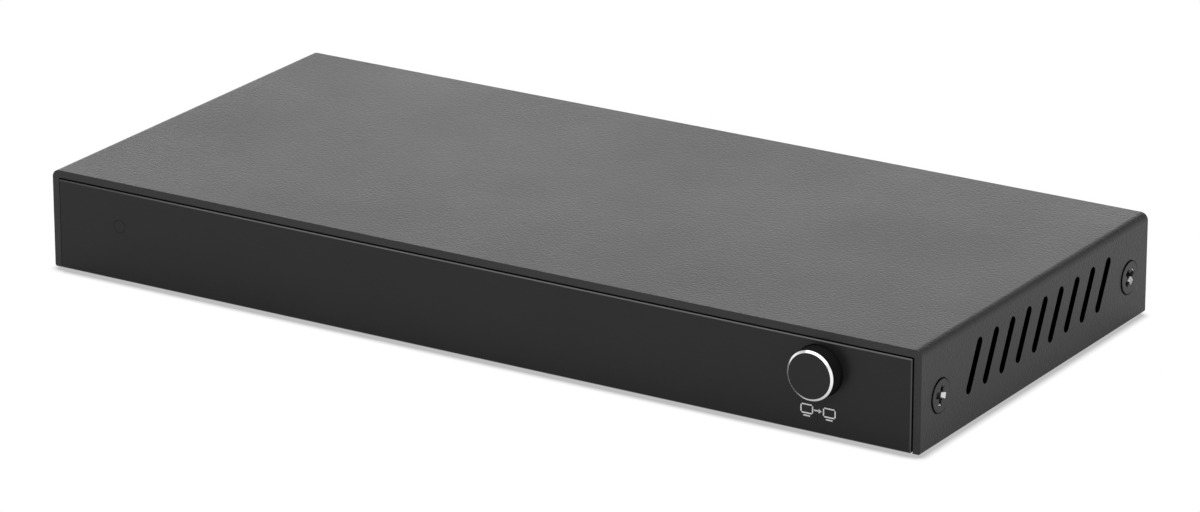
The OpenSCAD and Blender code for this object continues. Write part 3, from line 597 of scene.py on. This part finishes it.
buttonCap = {
    "chamfer": 0.33 * mm,
    "chamferDepth": 0.25 * mm,
    "flangeWidth": 0.5 * mm,
    "flangeThickness": 1.0 * mm,
    "stemHole": 3.5 * mm,
    "stemDepth": 2.5 * mm,
    "edge": 0.03 * mm,
    "dish": 0.03 * mm,
    "dishMiddle": (0.5, 0.75),  # shares of the face's radius and of the dish
    "ringSlack": 0.3,  # share of the rounded edge that is bright with the ring
    "segments": 128,
}


def makeButton(setup):
    low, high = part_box("button_cap")
    flangeRadius = (high.x - low.x) / 2
    radius = flangeRadius - setup["flangeWidth"]
    length = high.y - low.y
    flangeTop = setup["flangeThickness"]
    hole = setup["stemHole"] / 2
    faceRadius = radius - setup["chamfer"]
    across, deep = setup["dishMiddle"]
    outline = [
        (0.0, length - setup["dish"]),
        (faceRadius * across, length - setup["dish"] * deep),
        (faceRadius, length),
        (radius, length - setup["chamferDepth"]),
        (radius, flangeTop),
        (flangeRadius, flangeTop),
        (flangeRadius, 0.0),
        (hole, 0.0),
        (hole, setup["stemDepth"]),
        (0.0, setup["stemDepth"]),
    ]
    profile = roundCorners(outline, setup["edge"])
    slack = setup["ringSlack"] * setup["edge"]
    ringRows = [row for row, (first, last) in enumerate(zip(profile, profile[1:]))
                if min(first[0], last[0]) > faceRadius - slack
                and min(first[1], last[1]) > length - setup["chamferDepth"] - slack]
    centre = Vector(((low.x + high.x) / 2, high.y, (low.z + high.z) / 2))
    build = bmesh.new()
    lathe(build, profile, facing((0, -1, 0), centre), setup["segments"], ringRows)
    cap = newPiece("buttonCap", build, [looks["button"], brightCut], "button")
    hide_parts("button_cap")


coverScrews = {
    "headDepth": 0.9 * mm,
    "shank": 2.9 * mm,
    "length": 4.0 * mm,
    "rim": 0.06 * mm,
    "recessReach": 1.45 * mm,
    "recessHalf": 0.46 * mm,
    "recessLip": 0.08 * mm,
    "recessDepth": 1.25 * mm,
    "tipReach": 0.75 * mm,
    "tipHalf": 0.36 * mm,
    "point": 0.22 * mm,
    "worn": (0, 2, 9, 10),  # walls of the recess that the driver has rubbed bright
    "threadPitch": 0.5 * mm,
    "threadDepth": 0.28 * mm,
    "turns": (24, 61, -15, 40),
    "segments": 48,
    "smoothAngle": 25,
}


def crossLoop(build, place, reach, half, height):
    loop = []
    for quarter in range(4):
        turn = Matrix.Rotation(quarter * math.pi / 2, 4, "Z")
        for x, y in ((reach, -half), (reach, half), (half, half)):
            loop.append(build.verts.new(place @ turn @ Vector((x, y, height))))
    return loop


def addScrew(build, place, headRadius, setup):
    shank = setup["shank"] / 2
    head, pitch = setup["headDepth"], setup["threadPitch"]
    threads = int((setup["length"] - head) / pitch - 0.5)
    profile = [
        (headRadius - setup["rim"], 0.0),
        (headRadius, -setup["rim"]),
        (headRadius - head, -head),
        (shank, -head),
    ]
    for turn in range(threads):
        root = -head - pitch * (turn + 0.5)
        profile.append((shank - setup["threadDepth"], root))
        profile.append((shank, root - pitch / 2))
    profile.append((0.0, -setup["length"]))
    rim = lathe(build, profile, place, setup["segments"])[0]
    lip = setup["recessLip"]
    upper = Vector((setup["recessReach"], setup["recessHalf"], -lip))
    lower = Vector((setup["tipReach"], setup["tipHalf"], -setup["recessDepth"]))
    levels = [upper + Vector((lip, lip, lip)), upper, (upper + lower) / 2, lower]
    loops = [crossLoop(build, place, *level) for level in levels]
    bands = [closeLoops(build, first, last) for first, last in zip(loops, loops[1:])]
    outerWalls = bands[1]  # between the lip and half the depth
    for index in setup["worn"]:
        outerWalls[index].material_index = 1
    point = build.verts.new(place @ Vector((0, 0, -setup["recessDepth"] - setup["point"])))
    for pair in around(loops[-1]):
        build.faces.new([*pair, point])
    edges = []
    for loop in (rim, loops[0]):
        for pair in around(loop):
            edges.append(build.edges.get(pair) or build.edges.new(pair))
    bmesh.ops.triangle_fill(build, edges=edges, use_beauty=True)


def makeScrews(setup):
    low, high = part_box("cover_screws")
    headRadius = (high.z - low.z) / 2
    build = bmesh.new()
    turns = iter(setup["turns"])
    for side, x in ((-1, low.x), (1, high.x)):
        for y in (low.y + headRadius, high.y - headRadius):
            place = facing((side, 0, 0), Vector((x, y, (low.z + high.z) / 2)))
            spin = Matrix.Rotation(math.radians(next(turns)), 4, "Z")
            addScrew(build, place @ spin, headRadius, setup)
    materials, angle = [looks["black_screw"], wornRecess], setup["smoothAngle"]
    screws = newPiece("coverScrews", build, materials, "case", angle)
    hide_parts("cover_screws")


socketSprings = {
    "wall": 0.3 * mm,
    "opening": (14.1 * mm, 4.65 * mm),
    "length": 5.0 * mm,
    "width": 1.5 * mm,
    "thickness": 0.16 * mm,
    "bulge": 0.42 * mm,
    "bulgeShift": 1.7,  # above 1, the widest place is nearer the mouth
    "setback": 0.5 * mm,
    "topSpread": 3.6 * mm,
    "bottomSpread": 2.4 * mm,
    "sideDrop": 1.5 * mm,
    "steps": 14,
    "smoothAngle": 50,
}


# a bowed strip: X across it, Y towards the mouth, Z into the socket
def addFinger(build, place, setup):
    rows = []
    for step in range(setup["steps"] + 1):
        share = step / setup["steps"]
        y = -setup["length"] * (1 - share)
        z = setup["bulge"] * math.sin(math.pi * share ** setup["bulgeShift"])
        corners = []
        for x, rise in ((-0.5, 0), (0.5, 0), (0.5, 1), (-0.5, 1)):
            spot = Vector((x * setup["width"], y, z + rise * setup["thickness"]))
            corners.append(build.verts.new(place @ spot))
        rows.append(corners)
    for first, last in zip(rows, rows[1:]):
        closeLoops(build, first, last)
    build.faces.new(rows[0])
    build.faces.new(rows[-1])


def makeSprings(setup):
    width, height = setup["opening"]
    build = bmesh.new()
    for row in frame["record"]["subparts"]:
        if not row["node"].endswith("_shell"):
            continue
        low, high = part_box(row["node"])
        middle = (low.x + high.x) / 2
        mouth = high.y - setup["setback"]
        top = high.z - setup["wall"]
        spots = [(side * setup["topSpread"], top, 180) for side in (-1, 1)]
        spots += [(side * setup["bottomSpread"], top - height, 0) for side in (-1, 1)]
        spots += [(side * width / 2, top - setup["sideDrop"], -side * 90) for side in (-1, 1)]
        for x, z, angle in spots:
            roll = Matrix.Rotation(math.radians(angle), 4, "Y")
            addFinger(build, Matrix.Translation((middle + x, mouth, z)) @ roll, setup)
    steel, angle = [looks["shell_steel"]], setup["smoothAngle"]
    newPiece("socketSprings", build, steel, "case", angle)


# printed marks: thin plates of ink
inkMarks = {
    "thickness": 0.02 * mm,
    "line": 0.2 * mm,
    "screen": (1.9 * mm, 1.3 * mm),
    "screenSpread": 1.85 * mm,
    "standWidth": 0.9 * mm,
    "arrow": (1.2 * mm, 0.5 * mm),  # length and head
    "inputArrow": (2.3 * mm, 1.1 * mm),
    "headHalf": 0.7,  # half the head's width, as a share of its length
    "belowButton": 6.15 * mm,
    "digitSize": 2.3 * mm,
    "aboveSocket": 4.45 * mm,
    "polarityDrop": 8.5 * mm,  # from the inlet's middle towards the first socket
    "polaritySpread": 2.5 * mm,
    "polarityRing": 0.8 * mm,
    "polarityArc": 1.0 * mm,
    "polarityBar": 0.5,  # half a sign's bar, as a share of its ring
    "openTurn": (40, 320),
    "fullTurn": (0, 360),
    "arcSteps": 40,
    "dotSteps": 16,
}


def addPlate(build, place, outline, setup):
    loops = []
    for z in (0, setup["thickness"]):
        loops.append([build.verts.new(place @ Vector((x, y, z))) for x, y in outline])
    closeLoops(build, *loops)
    for loop in loops:
        build.faces.new(loop)


def addLine(build, place, start, end, setup):
    along = (Vector(end) - Vector(start)).normalized() * setup["line"] / 2
    aside = Vector((-along.y, along.x))
    first, last = Vector(start) - along, Vector(end) + along
    corners = [first - aside, last - aside, last + aside, first + aside]
    addPlate(build, place, corners, setup)


def addArc(build, place, centre, radius, span, steps, setup):
    half = setup["line"] / 2
    start, end = span
    turns = [math.radians(start + (end - start) * step / steps) for step in range(steps + 1)]
    for before, after in zip(turns, turns[1:]):
        corners = []
        for turn, reach in ((before, -half), (before, half), (after, half), (after, -half)):
            away = radius + reach
            corners.append((centre + away * math.cos(turn), away * math.sin(turn)))
        addPlate(build, place, corners, setup)


def addScreen(build, place, middle, setup):
    half, tall = setup["screen"][0] / 2, setup["screen"][1] / 2
    left, right, stand = middle - half, middle + half, setup["standWidth"] / 2
    for start, end in around([(left, -tall), (right, -tall), (right, tall), (left, tall)]):
        addLine(build, place, start, end, setup)
    foot = -tall - 2 * setup["line"]
    addLine(build, place, (middle - stand, foot), (middle + stand, foot), setup)


def addArrow(build, place, size, setup):
    length, head = size
    tip, half = length / 2, head * setup["headHalf"]
    addLine(build, place, (-tip, 0), (tip - head, 0), setup)
    addPlate(build, place, [(tip - head, -half), (tip, 0), (tip - head, half)], setup)


def addDigit(build, place, body, setup):
    curve = bpy.data.curves.new("digit", "FONT")
    curve.body = body
    curve.size = setup["digitSize"]
    curve.extrude = setup["thickness"] / 2
    curve.align_x = "CENTER"
    curve.align_y = "CENTER"
    holder = bpy.data.objects.new("digit", curve)
    mesh = bpy.data.meshes.new_from_object(holder)
    mesh.transform(place @ Matrix.Translation((0, 0, setup["thickness"] / 2)))
    build.from_mesh(mesh)
    bpy.data.objects.remove(holder)
    bpy.data.curves.remove(curve)
    bpy.data.meshes.remove(mesh)


def addPolarity(build, place, setup):
    spread, ring, line = setup["polaritySpread"], setup["polarityRing"], setup["line"]
    arc, half = setup["polarityArc"], ring * setup["polarityBar"]
    full, steps = setup["fullTurn"], setup["arcSteps"]
    for side in (-1, 1):
        addArc(build, place, side * spread, ring, full, steps, setup)
        addLine(build, place, (side * spread - half, 0), (side * spread + half, 0), setup)
    addLine(build, place, (spread, -half), (spread, half), setup)
    addArc(build, place, 0, arc, setup["openTurn"], steps, setup)
    addArc(build, place, 0, line, full, setup["dotSteps"], setup)
    addLine(build, place, (line, 0), (spread - ring - line, 0), setup)
    addLine(build, place, (ring - spread + line, 0), (-arc - line, 0), setup)


def makeMarks(setup):
    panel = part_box("front_panel")[0].y
    low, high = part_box("button_cap")
    across, up = (low.x + high.x) / 2, (low.z + high.z) / 2 - setup["belowButton"]
    front = facing((0, -1, 0), Vector((across, panel, up)))
    build = bmesh.new()
    for side in (-1, 1):
        addScreen(build, front, side * setup["screenSpread"], setup)
    addArrow(build, front, setup["arrow"], setup)
    newPiece("panelMark", build, [looks["ink"]], "case")
    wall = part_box("base_tray")[1].y
    build = bmesh.new()
    for mount in frame["record"]["mounts"]:
        name, spot = mount["name"], Vector(mount["pos_m"])
        spot.y = wall
        if name.startswith("output_"):
            spot.z += setup["aboveSocket"]
            addDigit(build, facing((0, 1, 0), spot), name.split("_")[1], setup)
        elif name == "input_socket":
            spot.z += setup["aboveSocket"]
            down = facing((0, 1, 0), spot) @ Matrix.Rotation(math.radians(-90), 4, "Z")
            addArrow(build, down, setup["inputArrow"], setup)
        elif name == "power_inlet_pin":
            spot.x -= setup["polarityDrop"]
            addPolarity(build, facing((0, 1, 0), spot), setup)
    newPiece("rearMarks", build, [looks["ink"]], "case")


makeButton(buttonCap)
makeScrews(coverScrews)
print("button and screws made")
makeSprings(socketSprings)
makeMarks(inkMarks)
print("socket springs and printed marks made")
